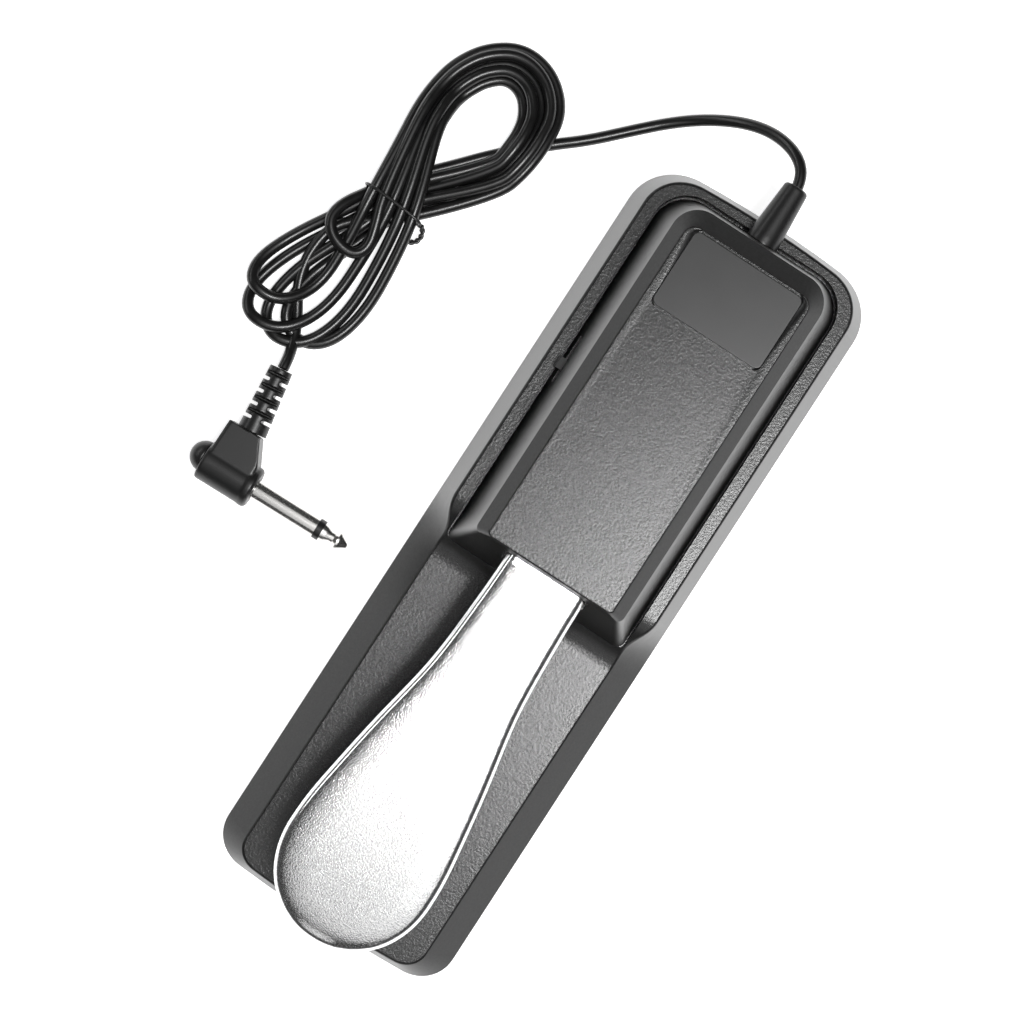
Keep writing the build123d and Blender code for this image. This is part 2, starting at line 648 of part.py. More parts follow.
def actuator_nut():
    top = LEVER_INNER_Z - LEVER_SHEET
    nut = extrude(RegularPolygon(3.9, 6), amount=2.6)
    nut = Pos(0, ACTUATOR_Y, top - 2.6) * nut
    return nut - cylinder_z(0, ACTUATOR_Y, PIVOT_Z, top, ACTUATOR_RADIUS - RUNNING_CLEARANCE)


def polarity_switch():
    body = box_between((-25.6, KNOB_Y - 4.4, BOARD_TOP_Z),
                       (-19.6, KNOB_Y + KNOB_TRAVEL + 4.4, BOARD_TOP_Z + 5.4))
    body -= box_between((-26, KNOB_Y - 2.2, KNOB_Z - 1.6),
                        (-22.4, KNOB_Y + KNOB_TRAVEL + 2.2, KNOB_Z + 1.6))
    return body


def polarity_knob():
    knob = box_between((-30.6, KNOB_Y - 1.8, KNOB_Z - 1.3),
                       (-22.8, KNOB_Y + 1.8, KNOB_Z + 1.3))
    tip = knob.faces().sort_by(Axis.X)[0]
    return fillet(tip.edges(), 0.4)


def smooth_path(points):
    """Straight runs joined by tangent arcs, each as large as its two runs allow."""
    corners = [Vector(*p) for p in points]
    radii = []
    for before, at, after in zip(corners, corners[1:], corners[2:]):
        turn = math.radians((at - before).get_angle(after - at))
        shorter = min((at - before).length, (after - at).length)
        radii.append(ARC_SHARE * shorter / math.tan(turn / 2))
    return FilletPolyline(*points, radius=radii), radii


def tube(points, diameter):
    path, radii = smooth_path(points)
    section = Plane(origin=path @ 0, z_dir=path % 0) * Circle(diameter / 2)
    body = sweep(section, path=path)
    expected = math.pi * diameter ** 2 / 4 * path.length
    print(f"  tube length {path.length:.1f}, volume / expected {body.volume / expected:.4f},"
          f" radii {[round(r, 1) for r in radii]}")
    return body


def signal_wires():
    """Two insulated cores from the board back to the cable boot."""
    wires = []
    for x in (-2.0, 2.0):
        route = [(x * 4.6, 52.4, BOARD_TOP_Z - 0.8), (x * 4.7, 60, BOARD_TOP_Z + 1.2),
                 (x * 3.6, 76, 21.0), (x * 1.2, 92, 23.4), (x * 0.55, 106.0, BOOT_Z)]
        wires.append(tube(route, WIRE_DIAMETER).solid())
    return Compound(wires)


# ---- cord and plug ----------------------------------------------------------------------
def cable_boot():
    """Tapered strain relief, with a collar on both faces of the housing's rear wall."""
    outside = [(0, 109), (4.95, 109), (4.95, 114.4), (3.75, BOOT_END_Y - 0.6),
               (3.3, BOOT_END_Y), (0, BOOT_END_Y)]
    edges = [Line(a, b) for a, b in zip(outside, outside[1:] + outside[:1])]
    tail = revolve(make_face(edges), Axis.Y)
    tail = tail - Pos(0, 0, -BOOT_Z) * housing_block(0, 0)
    neck = cylinder_y(0, 0, 106, 116, 4.4)
    collar = cylinder_y(0, 0, 107.6, 116, 6.2) & (Pos(0, 0, -BOOT_Z)
                                                 * housing_block(HOUSING_WALL + 0.05,
                                                                 HOUSING_ROOF))
    return Pos(0, 0, BOOT_Z) * (tail + neck + collar)


def hank_outline():
    """Outer line of the tied figure of eight, as a smooth closed curve."""
    return Spline((-105.3, 67.6), (-107.6, 78.0), (-106.6, 97.0), (-101.2, 117.0),
                  (-87.5, 125.9), (-73.5, 121.4), (-67.0, 108.0), (-71.0, 91.0),
                  (-87.2, 66.8), (-86.2, 43.0), (-92.6, 20.0), (-104.6, 13.2),
                  (-117.6, 17.0), (-121.2, 29.0), (-116.0, 47.0), periodic=True)


def hank_eye():
    """Opening inside the upper loop."""
    return Spline((-92.6, 83.5), (-93.6, 97.5), (-87.4, 108.0), (-80.6, 107.0),
                  (-79.8, 97.0), periodic=True)


def tie_ring(height, grow):
    outer = box_between((TIE_LEFT - grow, TIE_Y - TIE_WIDTH / 2, 0),
                        (TIE_RIGHT + grow, TIE_Y + TIE_WIDTH / 2, height))
    thickness = TIE_THICKNESS
    core = box_between((TIE_LEFT + thickness, TIE_Y - TIE_WIDTH, thickness),
                       (TIE_RIGHT - thickness, TIE_Y + TIE_WIDTH, height - thickness))
    return outer - core


def cord_hank():
    hank = extrude(make_face([hank_outline()]), amount=HANK_HEIGHT)
    hank -= Pos(0, 0, -1) * extrude(make_face([hank_eye()]), amount=HANK_HEIGHT + 2)
    return hank - tie_ring(HANK_HEIGHT + 0.001, 5.0)


def twist_tie():
    """Plastic-coated wire round the hank, its two ends twisted together."""
    ring = tie_ring(HANK_HEIGHT, 0)
    tail = cylinder_y(TIE_RIGHT + 0.4, 2.6, TIE_Y - 7.0, TIE_Y + TIE_WIDTH / 2, 1.1)
    return ring + tail


def cord_tail():
    start, end = Vector(*TAIL_START), Vector(*TAIL_END)
    section = Plane(origin=start, z_dir=end - start) * Circle(CORD_DIAMETER / 2)
    return extrude(section, amount=(end - start).length)


def place_plug(shape):
    """The plug is drawn with its sleeve along +X from the origin."""
    return Pos(PLUG_ORIGIN[0], PLUG_ORIGIN[1], PLUG_AXIS_Z) * Rot(0, 0, PLUG_TURN) * shape


def turned(points):
    """Solid of revolution about X from (x, radius) points."""
    edges = [Line(a, b) for a, b in zip(points, points[1:] + points[:1])]
    return revolve(make_face(edges), Axis.X)


def plug_body():
    back = PLUG_BARREL_BACK
    barrel = turned([(back, 0), (back, 5.8), (back + 0.4, 6.2), (-0.6, 6.2), (-0.3, 6.0),
                     (-0.3, 0)])
    shoulder = [(-16.6, 0), (-16.2, PLUG_TOP_Y), (-5.8, PLUG_TOP_Y), (-1.6, 5.6), (-1.6, 0)]
    edges = [Line(a, b) for a, b in zip(shoulder, shoulder[1:] + shoulder[:1])]
    block = Pos(0, 0, -5.6) * extrude(make_face(edges), amount=11.2)
    block = fillet(block.edges().filter_by(Axis.Y, tolerance=5), 1.0)
    collar = turned([(-2.2, 0), (-2.2, 6.4), (-0.5, 6.4), (COLLAR_END, 5.6),
                     (COLLAR_END, 0)])
    body = barrel + block + collar
    bore = turned([(-15, 0), (-15, 2.2), (1, 2.2), (1, 0)])
    return place_plug(body - bore)


def plug_dome():
    """Domed cap on the back of the plug's barrel."""
    dome = Pos(PLUG_BARREL_BACK, 0.6, 0) * Sphere(4.7)
    dome &= box_between((-30, -10, -10), (PLUG_BARREL_BACK, 10, 10))
    return place_plug(dome)


def plug_boot():
    """Ribbed flexible boot: staggered pairs of slots leave a zigzag of webs."""
    boot = Pos(0, BOOT_LENGTH / 2, 0) * Rot(-90, 0, 0) * Cone(4.5, 3.5, BOOT_LENGTH)
    side_slots = [box_between((side * 4.2 - 2.6, -0.5, -6), (side * 4.2 + 2.6, 0.5, 6))
                  for side in (1, -1)]
    face_slots = [box_between((-6, -0.5, side * 4.2 - 2.6), (6, 0.5, side * 4.2 + 2.6))
                  for side in (1, -1)]
    for row in range(4):
        y = FIRST_SLOT + row * SLOT_PITCH
        for slot in side_slots:
            boot -= Pos(0, y, 0) * slot
        for slot in face_slots:
            boot -= Pos(0, y + SLOT_PITCH / 2, 0) * slot
    return place_plug(Pos(PLUG_BOOT_X, PLUG_TOP_Y, 0) * Rot(0, 0, PLUG_BOOT_LEAN) * boot)


def plug_sleeve():
    """Sleeve contact, with a stem that is held in the moulded body."""
    return place_plug(turned([(-14.5, 0), (-14.5, 2.2), (SLEEVE_START, 2.2),
                              (SLEEVE_START, JACK_RADIUS), (SLEEVE_END, JACK_RADIUS),
                              (SLEEVE_END, 0)]))


def plug_insulator():
    return place_plug(turned([(SLEEVE_END, 0), (SLEEVE_END, JACK_RADIUS),
                              (INSULATOR_END, JACK_RADIUS), (INSULATOR_END, 0)]))


def plug_tip():
    """Tip contact: a waist that the socket's spring clicks into, then the point."""
    start = INSULATOR_END
    profile = [(0, 0), (0, 3.0), (1.4, 2.6), (2.8, 1.75), (4.0, 1.75), (5.2, 3.05),
               (5.8, 2.9), (8.4, 0.7), (8.7, 0)]
    return place_plug(turned([(start + along, radius) for along, radius in profile]))


def main():
    os.makedirs("parts", exist_ok=True)
    save("rubber_mat", rubber_mat())
    save("bottom_plate", bottom_plate())
    save("base_screws", base_screws())
    save("base_tray", base_tray())
    save("top_housing", top_housing())
    save("blank_badge", blank_badge())
    save("pedal_lever", pedal_lever())
    save("lever_bushes", lever_bushes())
    save("pivot_axle", pivot_axle())
    save("axle_clips", axle_clips())
    save("pivot_bracket", pivot_bracket())
    save("bracket_screws", bracket_screws())
    save("spring_seat", spring_seat())
    save("return_spring", return_spring())
    save("upper_stop_pad", upper_stop_pad())
    save("stop_pillar", stop_pillar())
    save("lower_stop_bumper", lower_stop_bumper())
    save("circuit_board", circuit_board())
    save("board_standoffs", board_standoffs())
    save("board_screws", board_screws())
    save("snap_switch", snap_switch())
    save("switch_plunger", switch_plunger())
    save("actuator_screw", actuator_screw())
    save("actuator_nut", actuator_nut())
    save("polarity_switch", polarity_switch())
    save("polarity_knob", polarity_knob())
    save("signal_wires", signal_wires())
    save("cable_boot", cable_boot())
    save("cord_lead", tube(LEAD_ROUTE, CORD_DIAMETER))
    save("cord_hank", cord_hank())
    save("cord_tail", cord_tail())
    save("twist_tie", twist_tie())
    save("plug_body", plug_body())
    save("plug_dome", plug_dome())
    save("plug_boot", plug_boot())
    save("plug_sleeve", plug_sleeve())
    save("plug_insulator", plug_insulator())
    save("plug_tip", plug_tip())


main()
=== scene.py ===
import json
import math

import bpy
import bmesh
from mathutils import Matrix, Vector
from mathutils.bvhtree import BVHTree


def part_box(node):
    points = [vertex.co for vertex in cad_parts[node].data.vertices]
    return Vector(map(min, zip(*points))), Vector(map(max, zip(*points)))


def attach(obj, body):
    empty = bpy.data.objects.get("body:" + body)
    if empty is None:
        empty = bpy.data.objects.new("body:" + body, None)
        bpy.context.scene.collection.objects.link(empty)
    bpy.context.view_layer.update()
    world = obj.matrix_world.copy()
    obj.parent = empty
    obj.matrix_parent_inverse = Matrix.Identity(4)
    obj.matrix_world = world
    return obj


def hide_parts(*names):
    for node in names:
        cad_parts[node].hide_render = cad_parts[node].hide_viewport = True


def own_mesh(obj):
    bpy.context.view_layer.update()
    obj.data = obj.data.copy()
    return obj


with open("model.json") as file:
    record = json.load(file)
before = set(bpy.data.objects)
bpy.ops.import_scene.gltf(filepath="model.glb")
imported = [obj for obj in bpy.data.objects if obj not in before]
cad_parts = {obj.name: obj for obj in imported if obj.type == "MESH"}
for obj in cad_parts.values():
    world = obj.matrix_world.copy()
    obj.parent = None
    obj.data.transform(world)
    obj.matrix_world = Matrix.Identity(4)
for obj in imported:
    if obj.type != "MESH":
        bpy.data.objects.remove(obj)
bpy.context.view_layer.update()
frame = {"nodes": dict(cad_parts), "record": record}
nodes = frame["nodes"]

MM = 0.001
CORD_DIAMETER = 3.5 * MM
CAMERA_PLACE = (-0.0179, 0.0096, 0.720)
CAMERA_TURN = math.radians(33)
CAMERA_LENS = 85.64
CAMERA_SENSOR = 36.0
FLOOR_GLOW = 0.75
FLOOR_REACH = 1.5            # half the side of the white table
WORLD_GLOW = 0.06

HOUSING_TOP_Z = 53.0 * MM
SHOULDER_Z = 48.5 * MM
HOUSING_EDGE = 0.35 * MM     # radius on the outer edges
HOUSING_WELD = 0.002 * MM
HOUSING_SHARP = 24           # degrees over which an edge stays sharp
OUTER_EDGE_TURN = 18         # degrees that an edge must turn to be rounded
OUTER_EDGE_SLACK = 0.05 * MM
OUTER_HALF_WIDTH = 19.5 * MM    # outside these three lies no edge of the badge's recess
OUTER_FRONT_Y = 1.2 * MM
OUTER_REAR_Y = 102.6 * MM
BADGE_CORNER = 2.0 * MM
BADGE_END_GAP = 0.5 * MM
BADGE_EDGE = 0.25 * MM
BADGE_EDGE_MIDDLE = 0.07 * MM
BADGE_SHARP = 40
SPRING_WIRE = 1.6 * MM
SPRING_TURNS = 7
SPRING_TURN_STEPS = 24
SPRING_CLOSED_ENDS = 0.06
LEVER_NECK_Y = -2.3 * MM
LEVER_WIDEST_Y = -96.0 * MM
LEVER_TIP_Y = -122.1 * MM
LEVER_TIP_HALF = 23.2 * MM
LEVER_TIP_SQUARE = 2.1       # 2 would be an ellipse
TIP_CENTRE = Vector((0, LEVER_WIDEST_Y))
LEVER_FLANGE = 5.7 * MM
LEVER_EDGE = 2.8 * MM        # radius of the rolled edge
LEVER_EDGE_ANGLE = 76.0
LEVER_CROWN = 0.8 * MM
LEVER_CROWN_SPAN = 3.5 * MM
LEVER_CROWN_INSETS = (3.0, 3.8, 4.8, 6.0, 7.6, 9.6)    # millimetres in from the edge
LEVER_PLATING = 0.08 * MM
LEVER_WELD = 0.01 * MM
LEVER_SHARP = 35
LEVER_SIDE_STEPS = 48
LEVER_TIP_STEPS = 30
LEVER_EDGE_STEPS = 7
LEVER_MIDDLE_STEPS = 5
PROBE_DEPTH = 4 * MM         # under the top, where the flange's outline is measured
PROBE_REACH = 24 * MM        # from the tip's centre to where its height is measured
PROBE_TIP_GAP = 3 * MM       # nearer the tip than this no height is measured
FAR = 0.1                    # metres, outside the part


def add_object(name, data):
    made = bpy.data.objects.new(name, data)
    bpy.context.scene.collection.objects.link(made)
    return made


def mesh_from(shape, name):
    """Mesh of this bmesh, which is freed."""
    mesh = bpy.data.meshes.new(name)
    shape.to_mesh(mesh)
    shape.free()
    return mesh


# ---- camera ----------------------------------------------------------------------------
def make_camera():
    """Looks straight down, turned so that the pedal lies across the picture."""
    data = bpy.data.cameras.new("camera")
    data.lens = CAMERA_LENS
    data.sensor_width = CAMERA_SENSOR
    camera = add_object("camera", data)
    camera.location = CAMERA_PLACE
    camera.rotation_euler = (0, 0, CAMERA_TURN)
    bpy.context.scene.camera = camera


# ---- node helpers ----------------------------------------------------------------------
class Shader:
    """A material's node tree, with short ways to add and link nodes."""

    def __init__(self, name):
        self.material = bpy.data.materials.new(name)
        self.material.use_nodes = True
        self.tree = self.material.node_tree
        self.surface = self.tree.nodes["Principled BSDF"]
        self.place = self.node("ShaderNodeTexCoord").outputs["Object"]

    def set(self, **values):
        for name, value in values.items():
            self.surface.inputs[name.replace("_", " ")].default_value = value

    def node(self, kind):
        return self.tree.nodes.new(kind)

    def link(self, source, target):
        self.tree.links.new(source, target)

    def noise(self, size, detail=2.0, roughness=0.5):
        """Noise with features of about this size, in metres."""
        noise = self.node("ShaderNodeTexNoise")
        noise.inputs["Scale"].default_value = 1.0 / size
        noise.inputs["Detail"].default_value = detail
        noise.inputs["Roughness"].default_value = roughness
        self.link(self.place, noise.inputs["Vector"])
        return noise.outputs["Fac"]

    def ramp(self, source, stops):
        """Colour ramp with stops of position and grey level or colour."""
        ramp = self.node("ShaderNodeValToRGB")
        elements = ramp.color_ramp.elements
        while len(elements) < len(stops):
            elements.new(0.5)
        for element, (place, value) in zip(elements, stops):
            element.position = place
            element.color = (*value, 1) if isinstance(value, tuple) else (value, value, value, 1)
        self.link(source, ramp.inputs["Fac"])
        return ramp.outputs["Color"]

    def colour(self, source):
        self.link(source, self.surface.inputs["Base Color"])

    def roughness(self, source):
        self.link(source, self.surface.inputs["Roughness"])

    def bump(self, source, depth, where=None):
        """Raises the surface by up to this depth, only where the mask says so if there is one."""
        bump = self.node("ShaderNodeBump")
        bump.inputs["Distance"].default_value = depth
        self.link(source, bump.inputs["Height"])
        if where:
            self.link(where, bump.inputs["Strength"])
        self.link(bump.outputs["Normal"], self.surface.inputs["Normal"])

    def level(self, low, high):
        """Mask that is 1 on level faces and 0 on steep ones."""
        geometry = self.node("ShaderNodeNewGeometry")
        split = self.node("ShaderNodeSeparateXYZ")
        self.link(geometry.outputs["Normal"], split.inputs["Vector"])
        span = self.node("ShaderNodeMapRange")
        span.inputs["From Min"].default_value = low
        span.inputs["From Max"].default_value = high
        self.link(split.outputs["Z"], span.inputs["Value"])
        return span.outputs["Result"]


# ---- materials -------------------------------------------------------------------------
# Throughout, gloss is the roughness of a finish's smoothest places.
def grained_plastic(name, shade, grain=0.65 * MM, depth=0.07 * MM, gloss=0.22):
    """Black moulding, pebbled by an eroded mould on its level faces and smoother on its walls."""
    made = Shader(name)
    pebbles = made.noise(grain, 3.0, 0.62)
    level = made.level(0.93, 0.985)
    made.colour(made.ramp(pebbles, [(0.3, shade * 0.6), (0.7, shade * 1.5)]))
    made.roughness(made.ramp(level, [(0.0, gloss * 1.4), (1.0, gloss)]))
    made.bump(pebbles, depth, made.ramp(level, [(0.0, 0.05), (1.0, 1.0)]))
    return made.material


def smooth_plastic(name, shade, gloss=0.35):
    made = Shader(name)
    cloud = made.noise(9 * MM, 2.0)
    made.colour(made.ramp(cloud, [(0.3, shade * 0.95), (0.7, shade * 1.05)]))
    made.roughness(made.ramp(cloud, [(0.3, gloss - 0.01), (0.7, gloss + 0.01)]))
    made.bump(made.noise(0.35 * MM, 1.0), 0.004 * MM)
    return made.material


def metal(name, colour, gloss, size=0.4 * MM, depth=0.004 * MM):
    made = Shader(name)
    made.set(Metallic=1.0)
    grain = made.noise(size, 3.0, 0.6)
    dark = tuple(c * 0.86 for c in colour)
    made.colour(made.ramp(grain, [(0.3, dark), (0.7, colour)]))
    made.roughness(made.ramp(grain, [(0.3, gloss), (0.7, gloss + 0.12)]))
    made.bump(grain, depth)
    return made.material


def lever_chrome():
    """Satin chrome: fine frosted speckle over a bright plate."""
    made = Shader("chrome")
    made.set(Metallic=1.0)
    speckle = made.noise(0.45 * MM, 2.0, 0.6)
    made.colour(made.ramp(speckle, [(0.36, (0.72, 0.72, 0.73)), (0.58, (0.95, 0.95, 0.95))]))
    made.roughness(made.ramp(speckle, [(0.3, 0.14), (0.7, 0.26)]))
    made.bump(speckle, 0.12 * MM, made.ramp(made.level(0.9, 0.975), [(0.0, 0.02), (1.0, 1.0)]))
    return made.material


def cord_jacket():
    made = Shader("cord_pvc")
    made.set(Roughness=0.28)
    cloud = made.noise(3 * MM, 2.0)
    made.colour(made.ramp(cloud, [(0.3, 0.006), (0.7, 0.01)]))
    made.bump(made.noise(0.5 * MM, 2.0), 0.006 * MM)
    return made.material


def coloured(name, colour, gloss=0.5, size=1.2 * MM, depth=0.01 * MM):
    made = Shader(name)
    grain = made.noise(size, 2.0)
    dark = tuple(c * 0.8 for c in colour)
    made.colour(made.ramp(grain, [(0.3, dark), (0.7, colour)]))
    made.roughness(made.ramp(grain, [(0.3, gloss), (0.7, gloss + 0.1)]))
    made.bump(grain, depth)
    return made.material


MATERIALS = {
    "case_plastic": grained_plastic("case_plastic", 0.012),
    "badge_plastic": smooth_plastic("badge_plastic", 0.01, 0.3),
    "rubber": coloured("rubber", (0.02, 0.02, 0.02), 0.7),
    "plated_steel": metal("plated_steel", (0.62, 0.63, 0.66), 0.3),
    "spring_steel": metal("spring_steel", (0.5, 0.5, 0.52), 0.3),
    "chrome": lever_chrome(),
    "inner_plastic": smooth_plastic("inner_plastic", 0.03, 0.5),
    "felt": coloured("felt", (0.12, 0.12, 0.12), 0.9, 0.5 * MM, 0.1 * MM),
    "board_laminate": coloured("board_laminate", (0.03, 0.16, 0.06), 0.35),
    "brass": metal("brass", (0.72, 0.56, 0.28), 0.28),
    "nylon": coloured("nylon", (0.78, 0.75, 0.68), 0.45),
    "knob_plastic": smooth_plastic("knob_plastic", 0.008, 0.45),
    "wire_insulation": coloured("wire_insulation", (0.45, 0.03, 0.03), 0.35),
    "soft_pvc": smooth_plastic("soft_pvc", 0.01, 0.36),
    "cord_pvc": cord_jacket(),
    "tie_plastic": smooth_plastic("tie_plastic", 0.02, 0.3),
    "plug_plastic": smooth_plastic("plug_plastic", 0.008, 0.36),
    "nickel": metal("nickel", (0.78, 0.77, 0.75), 0.16),
    "insulator_plastic": smooth_plastic("insulator_plastic", 0.012, 0.3),
}
SLOTS = {part["node"]: part["material_slot"] for part in frame["record"]["subparts"]}


def dress_frame():
    """Gives each CAD node the finish of its slot in the record."""
    for node, slot in SLOTS.items():
        mesh = nodes[node].data
        mesh.materials.clear()
        mesh.materials.append(MATERIALS[slot])


# ---- cord ------------------------------------------------------------------------------
# Route in millimetres from the boot, down to the floor and in under the hank.
LEAD_ROUTE = [
    (0.0, 131.5, 24.0),
    (-0.6, 135.6, 23.9),
    (-5.6, 140.2, 22.2),
    (-13.6, 142.5, 17.4),
    (-22.5, 141.7, 11.0),
    (-32.2, 137.6, 5.4),
    (-41.0, 131.4, 2.4),
    (-50.0, 122.6, 1.8),
    (-58.4, 114.0, 1.8),
    (-66.8, 107.0, 1.8),
    (-79.0, 96.0, 1.8),
    (-89.8, 83.7, 1.8),
]
TAIL_ROUTE = [
    (-106.5, 54.5, 4.4),
    (-109.6, 44.0, 4.4),
    (-108.0, 32.5, 3.0),
    (-101.2, 21.5, 1.8),
    (-98.6, 15.0, 3.4),
    (-97.4, 11.2, 5.9),
    (-97.05, 8.3, 6.4),
]
WAIST = (-96.3, 66.9)        # where the figure of eight is tied
MIDDLE_TURN = 2              # of the turns, which are ranked from 0
TOP_PITCH = 3.6              # strands that go up to the upper loop lie on top, side by side
TOP_ANGLE = 23.5
TOP_Z = 8.0
LOW_PITCH = 2.5              # and cross the ones that come down from it
LOW_MIDDLE = 2.5
LOW_ANGLE = -51.0
LOW_SHIFT = (-1.0, 0.3)
LOW_Z = (1.8, 4.4)
TAIL_RANK = 5
UPPER_CENTRE = (-88.1, 103.1)
# Round the upper loop: angle, radius of the middle turn, pitch, heights of even and odd turns.
UPPER_RING = [
    (232, 20.6, 2.9, 7.0, 8.2),
    (206, 15.2, 2.3, 4.6, 7.2),
    (178, 13.4, 2.1, 1.8, 4.6),
    (150, 13.4, 2.3, 1.8, 4.6),
    (120, 15.2, 2.5, 1.8, 4.6),
    (92, 18.0, 2.6, 1.8, 4.6),
    (64, 18.3, 2.7, 1.8, 4.4),
    (34, 17.2, 2.8, 2.6, 5.0),
    (4, 15.6, 2.2, 5.4, 7.6),
    (-24, 16.4, 2.2, 5.4, 7.6),
    (-47, 19.2, 2.2, 3.8, 6.2),
]
LOOP_ROUNDNESS = 1.35
LOOP_FULLNESS = 1.2
# The lower loops in the order that the cord runs through them: reach and lean of the loop,
# half width on each side, ranks at the waist going down and coming back, heights.
LOWER_LOOPS = [
    dict(reach=20.8, lean=26, left=7.2, right=8.6, low=0, top=1,
         heights=(3.0, 6.5, 7.9, 7.5, 6.6, 6.6, 7.4)),
    dict(reach=53.8, lean=10, left=10.0, right=11.5, low=3, top=3,
         heights=(4.4, 3.5, 1.8, 3.6, 2.6, 1.8, 4.8)),
    dict(reach=54.5, lean=19.5, left=8.7, right=12.5, low=2, top=2,
         heights=(1.8, 1.8, 1.8, 6.0, 5.3, 2.2, 4.8)),
    dict(reach=50.2, lean=3, left=10.5, right=10.5, low=4, top=4,
         heights=(1.8, 1.8, 4.2, 1.8, 1.8, 1.8, 4.8)),
    dict(reach=48.5, lean=27, left=7.3, right=11.0, low=1, top=0,
         heights=(3.6, 2.0, 4.5, 8.1, 6.5, 2.2, 4.8)),
]
TIE_WIRE = 0.9
TIE_TWIST_RADIUS = TIE_WIRE * 0.55
TIE_LOOP = [                 # once round the waist, from its twisted ends
    (-85.8, 65.4, 7.6),
    (-87.2, 65.9, 10.0),
    (-92.0, 66.4, 10.5),
    (-99.0, 66.9, 10.5),
    (-104.0, 67.1, 10.3),
    (-105.9, 67.1, 8.2),
    (-106.3, 67.2, 4.0),
    (-105.0, 67.2, 0.6),
    (-98.0, 67.0, 0.5),
    (-91.0, 66.4, 0.5),
    (-87.4, 65.4, 1.4),
    (-86.0, 65.0, 5.2),
]
TIE_ENDS = [
    (-85.8, 65.3, 7.4),
    (-84.8, 64.4, 6.6),
    (-84.3, 62.8, 5.2),
    (-84.7, 61.2, 4.0),
    (-86.0, 60.0, 3.0),
    (-87.6, 59.4, 2.2),
]
TIE_TWISTS = 2.5
TIE_TWIST_STEPS = 4          # between two points of the ends


def direction(angle):
    return Vector((math.cos(math.radians(angle)), math.sin(math.radians(angle))))


def top_point(rank):
    place = Vector(WAIST) + direction(TOP_ANGLE) * (rank - MIDDLE_TURN) * TOP_PITCH
    return (*place, TOP_Z)


def low_point(rank):
    middle = Vector(WAIST) + Vector(LOW_SHIFT)
    place = middle + direction(LOW_ANGLE) * (rank - LOW_MIDDLE) * LOW_PITCH
    return (*place, LOW_Z[rank % 2])


def lower_loop(loop):
    """One teardrop, from the waist's lower layer round to its upper layer."""
    start = Vector(low_point(loop["low"]))
    end = Vector(top_point(loop["top"]))
    axis = direction(-90 - loop["lean"])
    left = Vector((axis.y, -axis.x))
    points = [start]
    for step, height in enumerate(loop["heights"], 1):
        t = step / (len(loop["heights"]) + 1)
        swell = math.sin(math.pi * t)
        along = loop["reach"] * swell ** LOOP_ROUNDNESS
        half = loop["left"] * swell if t < 0.5 else loop["right"] * swell ** 0.5
        across = half * LOOP_FULLNESS * math.sin(2 * math.pi * t)
        ends = (start.lerp(end, t).xy - Vector(WAIST)) * math.cos(math.pi * t) ** 4
        place = Vector(WAIST) + axis * along + left * across + ends
        points.append((*place, height))
    return points + [end]


def upper_turn(rank):
    points = []
    for angle, radius, pitch, even_height, odd_height in UPPER_RING:
        place = Vector(UPPER_CENTRE) + direction(angle) * (radius + (MIDDLE_TURN - rank) * pitch)
        points.append((*place, odd_height if rank % 2 else even_height))
    return points


def cord_route():
    route = list(LEAD_ROUTE)
    for loop in LOWER_LOOPS:
        route += lower_loop(loop) + upper_turn(loop["top"])
    return route + [low_point(TAIL_RANK)] + TAIL_ROUTE


def smooth_line(name, points, diameter):
    """Tube this many metres thick along a spline with these control points in millimetres."""
    curve = bpy.data.curves.new(name, "CURVE")
    curve.dimensions = "3D"
    curve.resolution_u = 8
    curve.bevel_depth = diameter / 2
    curve.bevel_resolution = 5
    curve.use_fill_caps = True
    spline = curve.splines.new("NURBS")
    spline.points.add(len(points) - 1)
    for target, place in zip(spline.points, points):
        target.co = (*(Vector(place) * MM), 1)
    spline.order_u = 3
    spline.use_endpoint_u = True
    return add_object(name, curve)


def make_cord():
    cord = smooth_line("cord", cord_route(), CORD_DIAMETER)
    cord.data.materials.append(MATERIALS["cord_pvc"])
    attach(cord, "base")
    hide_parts("cord_lead", "cord_hank", "cord_tail")


def twisted_pair(points, side):
    """One of two wires that wind round each other along these points."""
    wound = []
    last = len(points) - 1
    for step in range(last * TIE_TWIST_STEPS + 1):
        t = step / TIE_TWIST_STEPS
        first = min(int(t), last - 1)
        start, end = Vector(points[first]), Vector(points[first + 1])
        place = start.lerp(end, t - first)
        along = (end - start).normalized()
        out = along.cross(Vector((0, 0, 1))).normalized()
        turn = Matrix.Rotation(2 * math.pi * TIE_TWISTS * t / last + side * math.pi, 3, along)
        wound.append(place + turn @ out * TIE_TWIST_RADIUS)
    return wound


def make_tie():
    """Plastic-coated wire round the waist, its ends twisted together."""
    route = twisted_pair(TIE_ENDS, 0)[::-1] + TIE_LOOP + twisted_pair(TIE_ENDS, 1)
    tie = smooth_line("wire_tie", route, TIE_WIRE * MM)
    tie.data.materials.append(MATERIALS["tie_plastic"])
    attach(tie, "base")
    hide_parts("twist_tie")
    return tie


# ---- pieces that stand for CAD nodes -----------------------------------------------------
def add_piece(name, mesh, node, body="base"):
    """Links the mesh as a piece that stands for this node and has its finish."""
    slot = SLOTS[node]
    piece = add_object(name, mesh)
    mesh.materials.clear()
    mesh.materials.append(MATERIALS[slot])
    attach(piece, body)
    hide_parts(node)
    return piece


def after_modifiers(scratch, name):
    """Mesh that an object's modifiers give; the object itself is removed."""
    graph = bpy.context.evaluated_depsgraph_get()
    mesh = bpy.data.meshes.new_from_object(scratch.evaluated_get(graph))
    mesh.name = name
    bpy.data.objects.remove(scratch)
    return mesh


